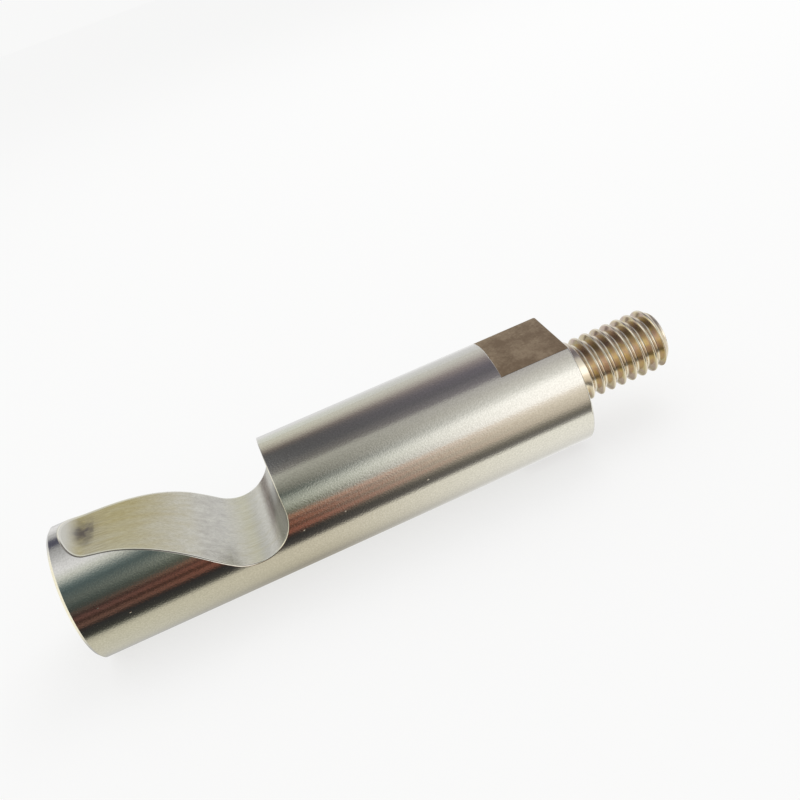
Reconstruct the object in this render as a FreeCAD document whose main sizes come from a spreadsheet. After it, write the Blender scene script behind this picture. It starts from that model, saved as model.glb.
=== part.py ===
"""A screw-in peg: a turned bar with a milled saddle and spanner flats, and a double-ended stud in its end.

Millimetres. The peg lies along X with the stud pointing to +X, and the saddle opens to +Z.
The origin is on the axis, in the shoulder face that the peg is tightened against.
"""

import FreeCAD, Part

import os
import re

import Sketcher
from FreeCAD import Placement, Rotation, Vector

SIZES = {
    # the bar
    "shank_diameter": 15.875,
    "shank_length": 61.0,
    "rim_round": 0.25,
    "end_chamfer": 0.35,
    "edge_break": 0.12,
    # the saddle's outline: places are distances from the plain end, rises are heights above the axis
    "saddle_start": 1.35,
    "entry_place": 2.8,
    "entry_rise": 6.45,
    "entry_radius": 3.0,
    "hump_place": 11.0,
    "hump_rise": 5.4,
    "hump_radius": 19.0,
    "ramp_slope": 40.6,
    "valley_radius": 4.4,
    "wall_place": 24.9,
    # the two spanner flats beside the shoulder, turned a little from the saddle
    "across_flats": 13.0,
    "flat_length": 8.4,
    "flats_turn": 5.2,
    # the stud: its 5/16-18 thread at both ends, and the plain neck between them
    "stud_diameter": 7.7,
    "stud_reach": 12.7,
    "stud_hold": 12.0,
    "neck_reach": 1.15,
    "neck_hold": 0.5,
    "tip_chamfer": 0.9,
    "pitch": 25.4 / 18,
    "thread_depth": 0.86,
    "crest_flat": 0.2,
    "flank_lean": 30.0,
    # the tapped hole, with a plain mouth that clears the neck
    "thread_gap": 0.06,
    "tapping_diameter": 6.55,
    "hole_depth": 15.0,
    "tapped_depth": 13.4,
    "mouth_diameter": 7.95,
    "mouth_depth": 2.0,
    "drill_point": 118.0,
    # how far a cutting outline stands out of the metal that it cuts
    "overshoot": 1.0,
}

document = FreeCAD.newDocument("ScrewInPeg")


def make_sheet():
    """Put every driving dimension in a cell of its own, beside its name."""
    table = document.addObject("Spreadsheet::Sheet", "Sizes")
    for row, (name, value) in enumerate(SIZES.items(), start=1):
        table.set(f"A{row}", name)
        table.set(f"B{row}", repr(value))
        table.setAlias(f"B{row}", name)
    document.recompute()
    return table


sheet = make_sheet()
ALIAS = re.compile(r"\b(" + "|".join(SIZES) + r")\b")


def size(expression):
    """The value of an expression on the sheet's cells, as a plain number."""
    value = sheet.evalExpression(expression)
    return float(getattr(value, "Value", value))


def bind(thing, field, expression):
    """Drive one property, or one constraint of a sketch, from the sheet."""
    thing.setExpression(field, ALIAS.sub(r"Sizes.\1", expression))


def new_body(label):
    """An empty body, whose label names the finished piece."""
    body = document.addObject("PartDesign::Body", label)
    document.recompute()
    return body


def new_sketch(body, name, role):
    """A sketch on one of the body's own origin planes."""
    plane = next(item for item in body.Origin.OriginFeatures if item.Role == role)
    sketch = body.newObject("Sketcher::SketchObject", name)
    sketch.AttachmentSupport = [(plane, "")]
    sketch.MapMode = "FlatFace"
    return sketch


def drive(sketch, constraint, expression):
    """Add one constraint and tie its value to the sheet."""
    place = sketch.addConstraint(constraint)
    bind(sketch, f"Constraints[{place}]", expression)


def outline(sketch, corners, rounds=()):
    """Draw a closed outline of straight lines through corners, each a pair of expressions.

    rounds holds pairs of a corner's number and its radius: an arc takes the place of that corner,
    tangent to the two lines that met there.
    """
    points = [Vector(size(across), size(up), 0) for across, up in corners]
    count = len(points)
    first = sketch.GeometryCount
    for place in range(count):
        sketch.addGeometry(Part.LineSegment(points[place], points[(place + 1) % count]))
    for place in range(count):
        line, following = first + place, first + (place + 1) % count
        sketch.addConstraint(Sketcher.Constraint("Coincident", line, 2, following, 1))
    for place, (across, up) in enumerate(corners):
        here = points[place]
        drive(sketch, Sketcher.Constraint("DistanceX", -1, 1, first + place, 1, here.x), across)
        drive(sketch, Sketcher.Constraint("DistanceY", -1, 1, first + place, 1, here.y), up)
    for corner, radius in rounds:
        before, after = first + corner - 1, first + corner
        arc = sketch.GeometryCount
        away = (points[corner - 1], points[(corner + 1) % count])
        sketch.fillet(before, after, *away, size(radius), True, True)
        drive(sketch, Sketcher.Constraint("Radius", arc, size(radius)), radius)
    document.recompute()


def must_cut(body, feature):
    """Make the feature the body's tip, and stop if it took no metal away."""
    before = feature.BaseFeature.Shape.Volume
    body.Tip = feature
    document.recompute()
    if not feature.Shape.Volume < before - 1e-3:
        raise RuntimeError(f"{feature.Label} cuts nothing")


def break_edges(body, name, base, wanted):
    """Round off those edges of a feature that lie on the bar's round surface and that wanted accepts.

    wanted is asked about each of three points along an edge.
    """
    names = []
    for place, edge in enumerate(base.Shape.Edges, start=1):
        first, last = edge.ParameterRange
        points = [edge.valueAt(first + part * (last - first)) for part in (0.1, 0.5, 0.9)]
        radii = [Vector(0, point.y, point.z).Length for point in points]
        on_bar = all(abs(radius - size("shank_diameter / 2")) < 1e-3 for radius in radii)
        if on_bar and all(wanted(point) for point in points):
            names.append(f"Edge{place}")
    fillet = body.newObject("PartDesign::Fillet", name)
    fillet.Base = (base, names)
    bind(fillet, "Radius", "edge_break")
    must_cut(body, fillet)


def turn_bar(body, name, corners, rounds=()):
    """Turn a solid from a half outline in the XZ plane, round the X axis."""
    sketch = new_sketch(body, f"{name}_outline", "XZ_Plane")
    outline(sketch, corners, rounds)
    bar = body.newObject("PartDesign::Revolution", name)
    bar.Profile = sketch
    bar.ReferenceAxis = (sketch, ["H_Axis"])
    bar.Angle = 360
    document.recompute()
    return bar


def cut_thread(body, name, corners, length, backwards):
    """Cut a right-hand thread groove: a section in the XZ plane, carried along a helix about X."""
    sketch = new_sketch(body, f"{name}_section", "XZ_Plane")
    outline(sketch, corners)
    groove = body.newObject("PartDesign::SubtractiveHelix", name)
    groove.Profile = sketch
    groove.ReferenceAxis = (sketch, ["H_Axis"])
    groove.Mode = "pitch-height-angle"
    groove.Angle = 0
    groove.Reversed = backwards
    bind(groove, "Pitch", "pitch")
    bind(groove, "Height", length)
    document.recompute()
    must_cut(body, groove)


def groove_section(centre, inner, inner_half, outer, outer_half):
    """The four corners of a thread groove's section, symmetric about its centre line."""
    return [
        (f"{centre} - ({inner_half})", inner),
        (f"{centre} + ({inner_half})", inner),
        (f"{centre} + ({outer_half})", outer),
        (f"{centre} - ({outer_half})", outer),
    ]


# half the width of the stud's groove at its mouth and at its root
MOUTH_HALF = "(pitch - crest_flat) / 2"
ROOT_HALF = "(pitch - crest_flat) / 2 - thread_depth * tan(flank_lean)"
ABOVE_MOUTH_HALF = "(pitch - crest_flat) / 2 + 0.1 * overshoot * tan(flank_lean)"
# the groove's centre line where each thread starts, below the axis outside and above it inside
OUTER_START = "(neck_reach + (pitch - crest_flat) / 2)"
INNER_START = "(-neck_hold - (pitch - crest_flat) / 2)"


def make_shank():
    """The bar, with its saddle, flats and tapped hole."""
    body = new_body("shank")
    radius = "shank_diameter / 2"
    turn_bar(
        body,
        "bar",
        [
            ("0", "0"),
            ("0", radius),
            ("-shank_length + end_chamfer", radius),
            ("-shank_length", f"{radius} - end_chamfer"),
            ("-shank_length", "0"),
        ],
        [(1, "rim_round")],
    )
    cut_saddle(body)
    cut_flats(body)
    cut_hole(body)
    cut_thread(body, "tapping", tapping_section(), "tapped_depth - mouth_depth + pitch", True)
    return body


def cut_saddle(body):
    """Mill the saddle across the bar.

    From the plain end: a short entry slope, a shallow floor that rolls over a wide hump into a ramp,
    a round valley just below the axis, and a wall square to the axis.
    """
    top = "shank_diameter / 2 + overshoot"
    wall = "-shank_length + wall_place"
    sketch = new_sketch(body, "saddle_outline", "XZ_Plane")
    outline(
        sketch,
        [
            ("-shank_length + saddle_start", "shank_diameter / 2"),
            ("-shank_length + entry_place", "entry_rise"),
            ("-shank_length + hump_place", "hump_rise"),
            (wall, "hump_rise - (wall_place - hump_place) * tan(ramp_slope)"),
            (wall, top),
            ("-shank_length + saddle_start", top),
        ],
        [(1, "entry_radius"), (2, "hump_radius"), (3, "valley_radius")],
    )
    saddle = body.newObject("PartDesign::Pocket", "saddle")
    saddle.Profile = sketch
    saddle.Type = "ThroughAll"
    saddle.Midplane = True
    must_cut(body, saddle)
    start, stop = size("-shank_length + saddle_start"), size(wall)
    break_edges(body, "saddle_edge", saddle, lambda point: start <= point.x <= stop + 1e-3)


def cut_flats(body):
    """Mill two parallel flats, back to back, from the shoulder to a short step."""
    sketch = new_sketch(body, "flats_outline", "YZ_Plane")
    sketch.AttachmentOffset = Placement(Vector(), Rotation(Vector(0, 0, 1), size("flats_turn")))
    bind(sketch, "AttachmentOffset.Rotation.Angle", "flats_turn")
    wide = "shank_diameter / 2 + overshoot"
    for side in ("", "-"):
        near, far = f"{side}across_flats / 2", f"{side}({wide})"
        outline(sketch, [(f"-({wide})", near), (wide, near), (wide, far), (f"-({wide})", far)])
    flats = body.newObject("PartDesign::Pocket", "flats")
    flats.Profile = sketch
    flats.Reversed = False
    bind(flats, "Length", "flat_length")
    must_cut(body, flats)
    step = size("-flat_length")
    break_edges(body, "flats_edge", flats, lambda point: step - 1e-3 <= point.x < -1e-3)


def cut_hole(body):
    """Drill the blind hole in the shoulder, with a plain mouth and a drill point at its end."""
    reach = "-hole_depth"
    radius = "tapping_diameter / 2"
    sketch = new_sketch(body, "hole_outline", "XZ_Plane")
    outline(
        sketch,
        [
            ("overshoot", "0"),
            ("overshoot", "mouth_diameter / 2"),
            ("-mouth_depth", "mouth_diameter / 2"),
            ("-mouth_depth", radius),
            (reach, radius),
            (f"{reach} - {radius} / tan(drill_point / 2)", "0"),
        ],
    )
    hole = body.newObject("PartDesign::Groove", "hole")
    hole.Profile = sketch
    hole.ReferenceAxis = (sketch, ["H_Axis"])
    hole.Angle = 360
    must_cut(body, hole)


def tapping_section():
    """The tapped hole's groove, which the stud's ridge fills but for a small gap all round.

    The ridge's centre line is half a pitch from the groove's. Its section starts in the plain mouth.
    """
    inner = "(tapping_diameter / 2 - 0.1 * overshoot)"
    outer = "(stud_diameter / 2 + thread_gap)"
    gap = "thread_gap / cos(flank_lean)"
    outer_half = f"crest_flat / 2 + {gap} - thread_gap * tan(flank_lean)"
    inner_half = f"{outer_half} + ({outer} - {inner}) * tan(flank_lean)"
    centre = f"({INNER_START} - pitch / 2)"
    return groove_section(centre, inner, inner_half, outer, outer_half)


def make_stud():
    """The double-ended stud, chamfered at both tips."""
    body = new_body("threaded_stud")
    radius = "stud_diameter / 2"
    turn_bar(
        body,
        "rod",
        [
            ("-stud_hold", "0"),
            ("-stud_hold", f"{radius} - tip_chamfer"),
            ("-stud_hold + tip_chamfer", radius),
            ("stud_reach - tip_chamfer", radius),
            ("stud_reach", f"{radius} - tip_chamfer"),
            ("stud_reach", "0"),
        ],
    )
    root = f"({radius} - thread_depth)"
    above = f"({radius} + 0.1 * overshoot)"
    outside = groove_section(OUTER_START, f"-{root}", ROOT_HALF, f"-{above}", ABOVE_MOUTH_HALF)
    inside = groove_section(INNER_START, root, ROOT_HALF, above, ABOVE_MOUTH_HALF)
    cut_thread(body, "outer_thread", outside, "stud_reach - neck_reach + pitch", False)
    cut_thread(body, "inner_thread", inside, "stud_hold - neck_hold + pitch", True)
    return body


def check(bodies):
    """Stop if any object of the document failed, or a piece isn't one sound solid."""
    document.recompute()
    for item in document.Objects:
        if {"Invalid", "Error"} & set(item.State):
            raise RuntimeError(f"{item.Label} failed: {item.State}")
    for body in bodies:
        shape = body.Shape
        if shape.isNull() or not shape.isValid() or len(shape.Solids) != 1:
            raise RuntimeError(f"{body.Label} is not one sound solid")
        print(f"{body.Label}: {shape.Volume:.1f} mm3")


pieces = [make_shank(), make_stud()]
check(pieces)
os.makedirs("parts", exist_ok=True)
for piece in pieces:
    piece.Shape.exportStep(f"parts/{piece.Label}.step")
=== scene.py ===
"""The looks of a saddle peg: a ground steel bar with a saddle, two flats and a threaded stud."""
import math

import bpy
import numpy as np
from mathutils import Matrix, Vector


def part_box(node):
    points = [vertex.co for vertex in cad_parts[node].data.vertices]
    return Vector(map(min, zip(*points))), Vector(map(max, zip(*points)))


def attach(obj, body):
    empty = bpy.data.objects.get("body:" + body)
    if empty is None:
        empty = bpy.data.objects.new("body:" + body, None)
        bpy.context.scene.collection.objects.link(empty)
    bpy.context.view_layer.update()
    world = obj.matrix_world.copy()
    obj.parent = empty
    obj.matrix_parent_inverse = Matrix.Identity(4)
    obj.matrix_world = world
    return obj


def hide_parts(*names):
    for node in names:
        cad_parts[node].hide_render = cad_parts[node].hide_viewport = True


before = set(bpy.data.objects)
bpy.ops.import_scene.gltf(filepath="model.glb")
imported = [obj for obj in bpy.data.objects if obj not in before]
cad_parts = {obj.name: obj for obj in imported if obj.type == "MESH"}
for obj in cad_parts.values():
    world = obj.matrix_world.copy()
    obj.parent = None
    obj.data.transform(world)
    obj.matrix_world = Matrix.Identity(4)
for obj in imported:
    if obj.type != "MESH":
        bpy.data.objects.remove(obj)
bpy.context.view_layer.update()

# places along the bar are measured from the shoulder, where x is 0, and heights from the axis
MM = 0.001
BAR_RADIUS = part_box("shank")[1][2]
SADDLE_ENDS = -59.9 * MM, -36 * MM      # a little past both of the saddle's ends
FLATS_START = -8.4 * MM
FLATS_HEIGHT = 6.5 * MM
FLATS_TURN = math.radians(5.2)          # how far the flats are turned from the saddle's direction

# the stud: its own ends and radius, the ends of its plain neck, and its 5/16-18 thread
stud_low, stud_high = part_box("threaded_stud")
HOLD_END, REACH_END = stud_low[0], stud_high[0]
STUD_RADIUS = stud_high[2]
NECK_ENDS = -0.5 * MM, 1.15 * MM
TIP_CHAMFER = 0.9 * MM
PITCH = 25.4 / 18 * MM
THREAD_DEPTH = 0.86 * MM
CREST_FLAT = 0.2 * MM
FLANK_LEAN = math.radians(30)

# the nicks on the round of the bar, in millimetres
NICKS = (
    (-57.9, -7.76, 1.66), (-55.2, -7.93, -0.3), (-45.3, -7.81, 1.4),
    (-35.1, -7.94, 0.15), (-30.2, -7.94, 0.2), (-20.5, -7.93, -0.45),
)

# ---------------------------------------------------------------- shader expressions


class Wire:
    """A node's output socket that takes part in shader expressions."""

    tree = None     # the node tree of the material that is being made

    def __init__(self, socket):
        self.socket = socket

    @classmethod
    def node(cls, kind, settings=None, out=0, **sockets):
        """Add a node: settings first, then its sockets' values or links, and give back one output.

        A socket is named by its own name with _ for each space, or by i and its number.
        """
        made = cls.tree.nodes.new(kind)
        for name, value in (settings or {}).items():
            if name == "stops":
                cls.set_stops(made.color_ramp, value)
            else:
                setattr(made, name, value)
        for name, value in sockets.items():
            numbered = name[0] == "i" and name[1:].isdigit()
            cls.feed(made.inputs[int(name[1:]) if numbered else name.replace("_", " ")], value)
        return cls(made.outputs[out])

    @classmethod
    def feed(cls, socket, value):
        """Link a wire to a socket, or set the socket's own value."""
        if isinstance(value, Wire):
            cls.tree.links.new(value.socket, socket)
        elif isinstance(value, tuple) and socket.type == "RGBA":
            socket.default_value = (*value, 1)
        else:
            socket.default_value = value

    @staticmethod
    def set_stops(ramp, stops):
        """Give a colour ramp its stops, pairs of a place and a colour or a grey."""
        while len(ramp.elements) < len(stops):
            ramp.elements.new(0.5)
        for element, (place, colour) in zip(ramp.elements, stops):
            element.position = place
            element.color = (*colour, 1) if isinstance(colour, tuple) else (colour, colour, colour, 1)

    @classmethod
    def maths(cls, operation, *values):
        """One Math node on wires and numbers, in their order."""
        sockets = {f"i{place}": value for place, value in enumerate(values)}
        return cls.node("ShaderNodeMath", {"operation": operation}, **sockets)

    def __add__(self, other): return self.maths("ADD", self, other)
    def __sub__(self, other): return self.maths("SUBTRACT", self, other)
    def __mul__(self, other): return self.maths("MULTIPLY", self, other)
    def __truediv__(self, other): return self.maths("DIVIDE", self, other)
    def __pow__(self, other): return self.maths("POWER", self, other)
    def __radd__(self, other): return self.maths("ADD", other, self)
    def __rsub__(self, other): return self.maths("SUBTRACT", other, self)
    def __rmul__(self, other): return self.maths("MULTIPLY", other, self)
    def __rtruediv__(self, other): return self.maths("DIVIDE", other, self)
    def __rpow__(self, other): return self.maths("POWER", other, self)
    def __neg__(self): return self.maths("MULTIPLY", self, -1.0)
    def __abs__(self): return self.maths("ABSOLUTE", self)

    def clip(self):
        """The value kept between 0 and 1."""
        return self.node("ShaderNodeClamp", Value=self)

    def rise(self, start, stop):
        """0 before start, 1 after stop, with a smooth rise between them; it falls if stop is lower."""
        return self.node(
            "ShaderNodeMapRange", {"interpolation_type": "SMOOTHSTEP"}, Value=self,
            From_Min=min(start, stop), From_Max=max(start, stop),
            To_Min=float(start > stop), To_Max=float(start < stop),
        )

    def band(self, start, stop, soft):
        """1 between start and stop, fading to 0 over soft outside them."""
        return self.rise(start - soft, start) * self.rise(stop + soft, stop)


def blend(factor, first, second):
    """Mix two colours by a wire or a number."""
    return Wire.node(
        "ShaderNodeMix", {"data_type": "RGBA", "blend_type": "MIX", "clamp_factor": True}, out=2,
        i0=factor, i6=first, i7=second,
    )


def object_place():
    """Where a point is, in metres."""
    return Wire.node("ShaderNodeTexCoord", out=3)


def split(vector):
    """The three parts of a vector."""
    outputs = Wire.node("ShaderNodeSeparateXYZ", Vector=vector).socket.node.outputs
    return Wire(outputs[0]), Wire(outputs[1]), Wire(outputs[2])


def axis_distance(y, z):
    """How far a point is from the bar's axis."""
    return (y * y + z * z) ** 0.5


def stretched(place, x, y, z):
    """Places scaled by x, y and z, to draw a pattern out along an axis."""
    return Wire.node("ShaderNodeVectorMath", {"operation": "MULTIPLY"}, i0=place, i1=(x, y, z))


def near(place, centre, inner, outer):
    """1 within inner of a centre, 0 beyond outer."""
    away = Wire.node("ShaderNodeVectorMath", {"operation": "DISTANCE"}, out=1, i0=place, i1=centre)
    return away.rise(outer, inner)


def grain(place, scale, detail, roughness):
    """Smooth random values about 0.5."""
    return Wire.node(
        "ShaderNodeTexNoise", {"noise_dimensions": "3D"}, Vector=place, Scale=scale, Detail=detail,
        Roughness=roughness,
    )


def new_material(name):
    """An empty material with its output node, ready for expressions."""
    material = bpy.data.materials.new(name)
    material.use_nodes = True
    material.node_tree.nodes.clear()
    Wire.tree = material.node_tree
    return material, material.node_tree.nodes.new("ShaderNodeOutputMaterial")


def finish(output, shader):
    """Join a shader to a material's output."""
    Wire.feed(output.inputs["Surface"], shader)


def metal(colour, roughness, height, depth):
    """A metal's shader, with a bump as deep as depth where the height is 1."""
    normal = Wire.node("ShaderNodeBump", Strength=1.0, Distance=depth, Height=height)
    return Wire.node(
        "ShaderNodeBsdfPrincipled", Base_Color=colour, Roughness=roughness, Metallic=1.0, Normal=normal,
    )


# ---------------------------------------------------------------- surfaces


def surface_object(name, points, blocks, material, flat_faces=0):
    """A mesh object at the origin, from an array of points and blocks of faces.

    The faces are shaded smooth, but for the last flat_faces of them.
    """
    faces = [face for block in blocks for face in block.tolist()]
    smooth = np.arange(len(faces)) < len(faces) - flat_faces
    mesh = bpy.data.meshes.new(name)
    mesh.from_pydata(points.tolist(), [], faces)
    mesh.polygons.foreach_set("use_smooth", smooth)
    mesh.materials.append(material)
    mesh.update()
    made = bpy.data.objects.new(name, mesh)
    bpy.context.scene.collection.objects.link(made)
    return made


def grid_faces(rows, columns):
    """Quads of a grid whose columns close on themselves."""
    row, column = np.meshgrid(np.arange(rows - 1), np.arange(columns), indexing="ij")
    after = (column + 1) % columns
    corners = (row * columns + column, row * columns + after,
               (row + 1) * columns + after, (row + 1) * columns + column)
    return np.stack(corners, -1).reshape(-1, 4)


# ---------------------------------------------------------------- the object's steels


def saddle_tone_and_light(place, clouds):
    """The saddle's colour and height: hairlines along its sweep, golden and blotted by the plain end, with a
    painted highlight at its start and painted shade at the wall's foot.
    """
    x, y, _ = split(place)
    streaks = grain(stretched(place, 45, 1000, 1000), 1.0, 4.0, 0.6)
    hairlines = grain(stretched(place, 75, 5600, 5600), 1.0, 3.0, 0.65)
    silver = blend(hairlines.rise(0.25, 0.75), (0.58, 0.57, 0.51), (0.71, 0.7, 0.64))
    gold = blend(hairlines.rise(0.25, 0.75), (0.42, 0.36, 0.19), (0.56, 0.5, 0.31))
    to_gold = x.rise(-43 * MM, -54 * MM) * (0.6 + 0.4 * y.rise(-5 * MM, 4 * MM)) + (streaks - 0.5) * 0.9
    colour = blend(to_gold.clip(), silver, gold)

    # a dark blot and a pale start by the plain end, the start a painted highlight, grey in the valley, and a
    # dark foot to the wall, a painted shade
    blot = near(stretched(place, 1, 0.5, 0), (-57.3 * MM, 0.4 * MM, 0), 0.5 * MM, 2.1 * MM)
    blot = (blot * (clouds * 3.0 - 0.75)).clip() * (0.35 + 0.65 * x.rise(-56.1 * MM, -56.4 * MM))
    colour = blend(blot, colour, (0.12, 0.1, 0.095))
    # painted highlight: the saddle's start by the plain end is painted pale
    start_highlight = x.rise(-57.6 * MM, -59.4 * MM)
    colour = blend(start_highlight, colour, (0.66, 0.65, 0.6))
    valley = x.band(-45.4 * MM, -43.4 * MM, 1.3 * MM) * (streaks * 2.2 - 0.75).clip()
    colour = blend(valley * 0.6, colour, (0.36, 0.35, 0.38))
    # painted shade: a dark band along the foot of the wall, standing in for its dark reflection
    wall_foot_shade = x.band(-37.4 * MM, -36.3 * MM, 0.5 * MM) * y.band(-9 * MM, 1.5 * MM, 3 * MM)
    colour = blend(wall_foot_shade * 0.55, colour, (0.22, 0.23, 0.2))
    return colour, hairlines


def flats_finish(place, clouds):
    """The spanner flats' colour and height: dull brown, softly mottled."""
    milled = grain(stretched(place, 2600, 700, 700), 1.0, 3.0, 0.6)
    specks = grain(place, 3600, 2.0, 0.6)
    dull = clouds * 0.6 + milled * 0.15 + specks * 0.25
    return blend(dull.rise(0.38, 0.66), (0.21, 0.15, 0.1), (0.36, 0.28, 0.2)), milled * 0.5


def saddle_edge_light(place):
    """Three masks: a painted highlight along the saddle's edge, a thin painted line beside it (painted shade
    where dark, painted highlight where bright), and where that line is bright.
    """
    x, y, z = split(place)
    inward = BAR_RADIUS - axis_distance(y, z)
    along_saddle = x.band(*SADDLE_ENDS, 0.05 * MM)
    edge_highlight = along_saddle * inward.band(0.13 * MM, 0.26 * MM, 0.04 * MM)
    shade_and_glint_line = along_saddle * inward.band(0.03 * MM, 0.12 * MM, 0.008 * MM)
    # where the thin line is painted as a highlight rather than as shade
    bright = (x.rise(-47 * MM, -43 * MM) + y.rise(-2.5 * MM, -1 * MM)).clip()
    return edge_highlight, shade_and_glint_line, bright


def nick_marks(place):
    """1 in the nicks, each a little longer along the bar than across it."""
    return sum(
        near(stretched(place, 0.4, 1, 1), (0.4 * x * MM, y * MM, z * MM), 0.01 * MM, 0.08 * MM)
        for x, y, z in NICKS
    ).clip()


def ground_steel():
    """Satin ground stainless steel: the round of the bar, its saddle, its flats, edges and nicks."""
    material, output = new_material("ground_steel")
    place = object_place()
    x, y, z = split(place)
    inward = BAR_RADIUS - axis_distance(y, z)
    saddle = inward.rise(0.02 * MM, 0.06 * MM) * x.band(*SADDLE_ENDS, 0.05 * MM)
    height_of_flat = abs(z * math.cos(FLATS_TURN) - y * math.sin(FLATS_TURN))
    flats = height_of_flat.band(FLATS_HEIGHT - 0.006 * MM, FLATS_HEIGHT + 0.03 * MM, 0.004 * MM)
    flats = flats * x.band(FLATS_START - 0.04 * MM, 1 * MM, 0.01 * MM)
    nicks = nick_marks(place)

    speckle = grain(place, 5200, 3.0, 0.6)
    clouds = grain(place, 420, 3.0, 0.6)
    saddle_colour, saddle_height = saddle_tone_and_light(place, clouds)
    flats_colour, flats_height = flats_finish(place, clouds)
    colour = blend(speckle.rise(0.3, 0.7), (0.61, 0.6, 0.575), (0.71, 0.7, 0.675))
    colour = blend(saddle, colour, saddle_colour)
    colour = blend(flats, colour, flats_colour)
    edge_highlight, shade_and_glint_line, bright = saddle_edge_light(place)
    # painted highlight along the saddle's edge, then the thin line: painted shade, or a painted highlight
    # where bright
    colour = blend(edge_highlight * 0.7, colour, (0.8, 0.79, 0.74))
    colour = blend(shade_and_glint_line * 0.85, colour, blend(bright, (0.06, 0.058, 0.05), (0.9, 0.88, 0.8)))
    colour = blend((nicks * speckle * 0.6).clip(), colour, (0.8, 0.8, 0.78))

    height = blend(saddle, speckle, saddle_height)
    height = blend(flats, height, flats_height)
    height = blend(nicks, height, (2.0, 2.0, 2.0))
    roughness = 0.075 + 0.17 * saddle + 0.2 * flats + 0.2 * nicks
    finish(output, metal(colour, roughness, height, depth=9e-6))
    return material


def stud_steel():
    """The stud's steel: cream on its crests and roots, partly wear and partly a painted highlight, and gold
    and brown on the flanks, partly a stain and partly a painted reflection of brown surroundings.
    """
    material, output = new_material("stud_steel")
    place = object_place()
    _, y, z = split(place)
    from_axis = axis_distance(y, z)
    flank = from_axis.rise(3.8 * MM, 3.66 * MM) * from_axis.rise(3.03 * MM, 3.14 * MM)
    stain = grain(place, 620, 3.0, 0.6)
    fine = grain(place, 4200, 2.0, 0.5)
    # the flanks' gold and brown: partly a stain, partly a painted reflection
    stain_and_reflection = blend(stain.rise(0.42, 0.6), (0.64, 0.54, 0.29), (0.54, 0.41, 0.34))
    stain_and_reflection = blend((fine - 0.15).clip(), stain_and_reflection, (0.62, 0.54, 0.46))
    # crests and roots painted cream: wear together with a painted highlight
    colour = blend(flank, (0.82, 0.76, 0.66), stain_and_reflection)
    finish(output, metal(colour, 0.13 + 0.12 * stain, fine, depth=3e-6))
    return material


# ---------------------------------------------------------------- the threaded stud


def soft_most(first, second, soft):
    """The larger of two, with the corner where they cross rounded over soft."""
    return 0.5 * (first + second + np.sqrt((first - second) ** 2 + soft ** 2))


def soft_least(first, second, soft):
    """The smaller of two, rounded in the same way."""
    return -soft_most(-first, -second, soft)


def smooth_rise(values, start, stop):
    """0 before start, 1 after stop, by 3t^2 - 2t^3."""
    t = np.clip((values - start) / (stop - start), 0, 1)
    return t * t * (3 - 2 * t)


def thread_depth(along, turn, start, way):
    """How deep the thread is cut, by the place along the axis and the turn about it.

    The groove's middle moves back one pitch in each turn. Its depth falls at the flank's slope with
    the distance from the crest's edge, limited by the full depth, with both corners rounded. It fades
    in over 0.3 of a pitch from its start, outwards if way is 1 and inwards if it is -1.
    """
    middle = start - PITCH * (turn + math.pi / 2) / (2 * math.pi)
    offset = (along - middle + PITCH / 2) % PITCH - PITCH / 2
    from_crest = PITCH / 2 - np.abs(offset) - CREST_FLAT / 2
    cut = soft_most(from_crest / math.tan(FLANK_LEAN), 0.0, 0.14 * MM)
    cut = soft_least(cut, THREAD_DEPTH, 0.1 * MM)
    travelled = way * (along - offset - start)
    return cut * smooth_rise(travelled, -0.3 * PITCH, 0.0)


def make_stud(material):
    """The stud by its radius over a grid of places along the axis and turns about it.

    The radius is the plain radius less the depths of its two threads, which run away from the neck,
    and no more than the end chamfers leave. Each end is closed by faces that meet at its middle.
    """
    columns, seen_from = 144, -1 * MM
    hidden = np.linspace(HOLD_END, seen_from, 160)[:-1]
    seen = np.linspace(seen_from, REACH_END, 330)
    along = np.concatenate([hidden, seen])
    turn = np.linspace(0, 2 * math.pi, columns, endpoint=False) - math.pi / 2
    place, angle = along[:, None], turn[None]
    half_groove = (PITCH - CREST_FLAT) / 2
    depth = thread_depth(place, angle, NECK_ENDS[1] + half_groove, 1)
    depth = depth + thread_depth(place, angle, NECK_ENDS[0] - half_groove, -1)
    from_end = np.minimum(REACH_END - place, place - HOLD_END)
    radius = soft_least(STUD_RADIUS - depth, STUD_RADIUS - TIP_CHAMFER + from_end, 0.04 * MM)
    rings = np.stack([
        np.broadcast_to(place, radius.shape), -radius * np.cos(angle), radius * np.sin(angle),
    ], -1)
    tips = np.array([[HOLD_END, 0, 0], [REACH_END, 0, 0]])
    points = np.concatenate([rings.reshape(-1, 3), tips])

    first = np.arange(columns)
    after = (first + 1) % columns
    last_ring = (len(along) - 1) * columns
    hold_tip = np.full(columns, len(points) - 2)
    reach_tip = np.full(columns, len(points) - 1)
    blocks = (
        grid_faces(len(along), columns)[:, ::-1],
        np.stack([first, after, hold_tip], -1),
        np.stack([last_ring + after, last_ring + first, reach_tip], -1),
    )
    stud = surface_object("stud", points, blocks, material, flat_faces=2 * columns)
    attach(stud, "root")
    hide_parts("threaded_stud")


# ---------------------------------------------------------------- stage


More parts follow.
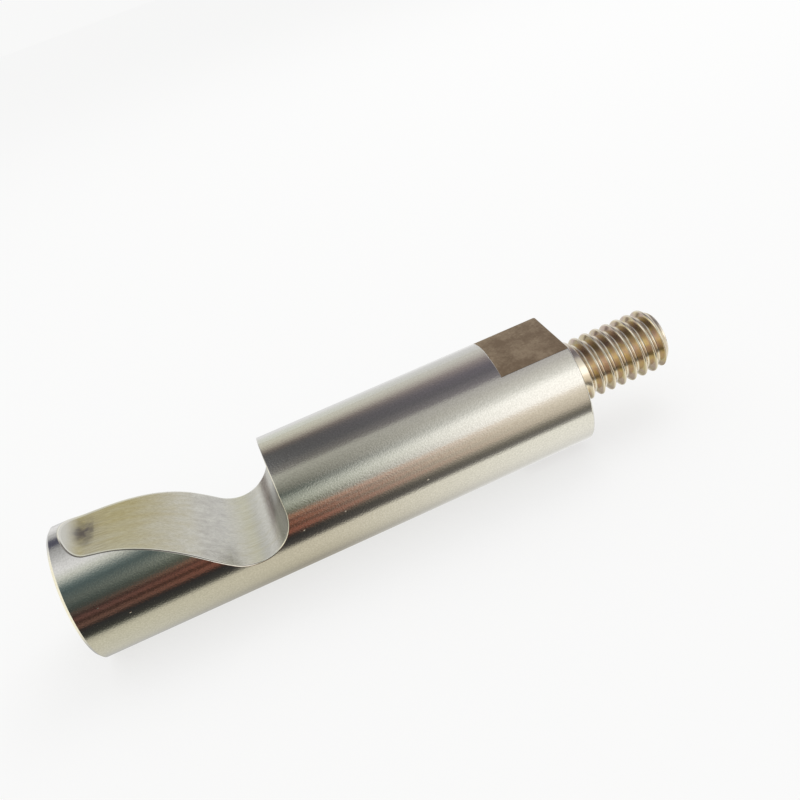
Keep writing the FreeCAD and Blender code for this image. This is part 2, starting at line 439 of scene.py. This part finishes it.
def studio_glow():
    """What the steel reflects: soft light and dark cloths all round, by their angle about the bar.

    The angle is 0 level towards -Y, 90 overhead and 180 level towards +Y. Three rows of bands stand
    for the plain end's side, the middle and the stud's side, and blend into each other along x.
    """
    material, output = new_material("studio_glow")
    place = object_place()
    x, y, z = split(place)
    turn = 0.5 + Wire.maths("ARCTAN2", z, -y) / (2 * math.pi)

    def bands(*stops):
        places = [((degrees + 180) / 360, colour) for degrees, colour in stops]
        return Wire.node("ShaderNodeValToRGB", {"stops": places}, Fac=turn)

    plain_side = bands(
        (-180, 0.85), (-140, 0.5), (-100, (0.76, 0.74, 0.62)), (-65, (0.76, 0.73, 0.57)),
        (-53, (0.66, 0.63, 0.49)), (-47, (0.2, 0.2, 0.16)), (-44, (0.06, 0.06, 0.05)), (-30, 0.035),
        (-26, (0.06, 0.04, 0.03)), (-21, (0.22, 0.12, 0.09)), (-15, (0.02, 0.015, 0.012)),
        (-9, (0.2, 0.1, 0.08)), (-3, (0.03, 0.022, 0.02)), (2, (0.14, 0.1, 0.08)),
        (5, (0.07, 0.07, 0.06)), (14, (0.08, 0.1, 0.09)), (22, (0.14, 0.16, 0.14)), (40, (0.1, 0.14, 0.14)),
        (47, (0.2, 0.25, 0.24)), (60, (0.78, 0.8, 0.72)), (72, 1.0), (82, 0.9), (100, 0.6), (114, 0.45),
        (122, (0.12, 0.12, 0.16)), (134, (0.12, 0.12, 0.16)), (144, 0.6), (165, 0.95), (180, 1.0),
    )
    middle = bands(
        (-180, 0.9), (-160, 0.8), (-138, (0.42, 0.4, 0.34)), (-112, (0.42, 0.39, 0.32)),
        (-90, (0.65, 0.6, 0.46)), (-68, (0.77, 0.71, 0.55)), (-52, (0.74, 0.68, 0.53)),
        (-46, (0.1, 0.09, 0.08)), (-33, 0.035), (-27, (0.07, 0.04, 0.03)), (-21, (0.4, 0.14, 0.09)),
        (-15, (0.06, 0.03, 0.02)), (-9, (0.4, 0.15, 0.09)), (-4, (0.08, 0.04, 0.03)),
        (1, (0.5, 0.22, 0.13)), (7, (0.18, 0.17, 0.12)), (13, (0.22, 0.23, 0.16)),
        (22, (0.5, 0.53, 0.43)), (30, (0.38, 0.41, 0.34)), (38, (0.11, 0.13, 0.11)),
        (46, (0.22, 0.22, 0.18)), (56, (0.34, 0.34, 0.28)), (70, (0.5, 0.5, 0.42)),
        (78, (0.22, 0.21, 0.19)), (92, 0.13), (114, 0.11), (122, (0.2, 0.17, 0.15)),
        (131, (0.52, 0.48, 0.4)), (142, (0.74, 0.72, 0.6)), (162, (0.84, 0.86, 0.78)), (180, 0.92),
    )
    stud_side = bands(
        (-180, 0.95), (-140, 0.98), (-112, (0.9, 0.89, 0.84)), (-80, (1.1, 1.08, 0.98)),
        (-52, (1.12, 1.1, 0.98)), (-47, (0.4, 0.38, 0.34)), (-43, (0.2, 0.19, 0.17)),
        (-35, (0.24, 0.22, 0.18)), (-22, (0.74, 0.66, 0.53)), (-6, (0.96, 0.87, 0.71)),
        (3, (1.15, 1.06, 0.92)), (9, (1.5, 1.46, 1.38)), (30, (1.5, 1.48, 1.4)), (41, (1.0, 0.99, 0.92)),
        (54, (0.76, 0.74, 0.68)), (68, (0.6, 0.58, 0.56)), (76, (0.28, 0.26, 0.28)),
        (92, (0.18, 0.17, 0.19)), (106, (0.21, 0.19, 0.22)), (120, (0.38, 0.33, 0.33)),
        (132, (0.6, 0.56, 0.53)), (146, (0.76, 0.75, 0.71)), (165, 0.82), (180, 0.85),
    )
    glow = blend(x.rise(-0.17, -0.03), plain_side, middle)
    glow = blend(x.rise(-0.055, 0.13) ** 0.75, glow, stud_side)
    beyond_plain_end = x.rise(-0.3, -0.42)
    glow = blend(beyond_plain_end, glow, (1.3, 1.24, 1.0))
    dark_cloth = near(place, (-0.25, 0.37, 0.02), 0.03, 0.1)
    glow = blend(dark_cloth, glow, (0.16, 0.12, 0.11))
    finish(output, Wire.node("ShaderNodeEmission", Color=glow, Strength=1.0))
    material.cycles.emission_sampling = "NONE"
    return material


def make_tent():
    """A ball of soft light round the object that only its reflections see.

    A sphere by latitude from the x axis and turn about it, each pole closed by a small flat face.
    """
    columns, rows, radius, cap = 64, 33, 0.45, 0.02
    latitude = np.linspace(cap, math.pi - cap, rows)[:, None]
    turn = np.linspace(0, 2 * math.pi, columns, endpoint=False)[None]
    points = radius * np.stack([
        np.cos(latitude) * np.ones_like(turn), np.sin(latitude) * np.cos(turn),
        np.sin(latitude) * np.sin(turn),
    ], -1).reshape(-1, 3)
    first_ring = np.arange(columns)[None]
    last_ring = first_ring + (rows - 1) * columns
    blocks = grid_faces(rows, columns)[:, ::-1], first_ring, last_ring[:, ::-1]
    tent = surface_object("light_tent", points, blocks, studio_glow(), flat_faces=2)
    for kind in ("camera", "diffuse", "shadow", "transmission", "volume_scatter"):
        setattr(tent, f"visible_{kind}", False)


def pale_floor():
    """A pale table top, mostly of its own even light so that its shadows stay faint."""
    material, output = new_material("pale_floor")
    lit = Wire.node("ShaderNodeBsdfDiffuse", Color=(0.9, 0.9, 0.9))
    even = Wire.node("ShaderNodeEmission", Color=(0.955, 0.955, 0.952), Strength=1.0)
    finish(output, Wire.node("ShaderNodeMixShader", Fac=0.28, i1=even, i2=lit))
    return material


def make_floor():
    """A round table top that touches the bar's underside: a ring, and a disc that fills its middle."""
    columns, middle_radius, floor_radius = 96, 0.02, 4.0
    turns = np.linspace(0, 2 * math.pi, columns, endpoint=False)
    radii = np.array([floor_radius, middle_radius])
    flat = np.stack([np.outer(radii, np.cos(turns)), np.outer(radii, np.sin(turns))], -1)
    heights = np.full((2, columns, 1), -BAR_RADIUS)
    points = np.concatenate([flat, heights], -1).reshape(-1, 3)
    floor = surface_object("floor", points, [grid_faces(2, columns)], pale_floor())
    disc = np.arange(columns)[None]
    middle = surface_object("floor_middle", points[columns:], [disc], floor.data.materials[0])
    for piece in (floor, middle):
        piece.visible_glossy = False


def light_room():
    """Even pale light from all round, and one large soft lamp for a faint shadow."""
    world = bpy.data.worlds.new("pale_room")
    world.use_nodes = True
    world.node_tree.nodes["Background"].inputs["Color"].default_value = (0.94, 0.94, 0.937, 1)
    bpy.context.scene.world = world
    bpy.context.scene.view_settings.view_transform = "Standard"
    lamp = bpy.data.lights.new("soft_lamp", "AREA")
    lamp.size, lamp.energy = 0.4, 0.7
    holder = bpy.data.objects.new("soft_lamp", lamp)
    holder.location = (0.25, 0.22, 0.45)
    holder.rotation_euler = (-holder.location).to_track_quat("-Z", "Y").to_euler()
    holder.visible_glossy = False
    bpy.context.scene.collection.objects.link(holder)


def place_camera():
    """The camera looks down at the bar from the side, rolled so that the bar climbs to the right."""
    place = Vector((-0.032131, -0.096511, 0.054909))
    turned, down, roll = math.radians(7.58), math.radians(26.74), math.radians(20.2)
    forward = Vector((math.sin(turned) * math.cos(down), math.cos(turned) * math.cos(down), -math.sin(down)))
    level = forward.cross(Vector((0, 0, 1))).normalized()
    upright = level.cross(forward)
    right = level * math.cos(roll) - upright * math.sin(roll)
    up = upright * math.cos(roll) + level * math.sin(roll)
    camera = bpy.data.cameras.new("camera")
    camera.lens, camera.sensor_width = 42.77, 36
    camera.shift_x, camera.shift_y = -0.0006, 0.0006
    camera.clip_start, camera.clip_end = 0.005, 20
    holder = bpy.data.objects.new("camera", camera)
    facing = Matrix((right, up, -forward)).transposed()
    holder.matrix_world = Matrix.Translation(place) @ facing.to_4x4()
    bpy.context.scene.collection.objects.link(holder)
    bpy.context.scene.camera = holder


place_camera()
light_room()
make_floor()
make_tent()

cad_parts["shank"].data.materials[0] = ground_steel()
make_stud(stud_steel())
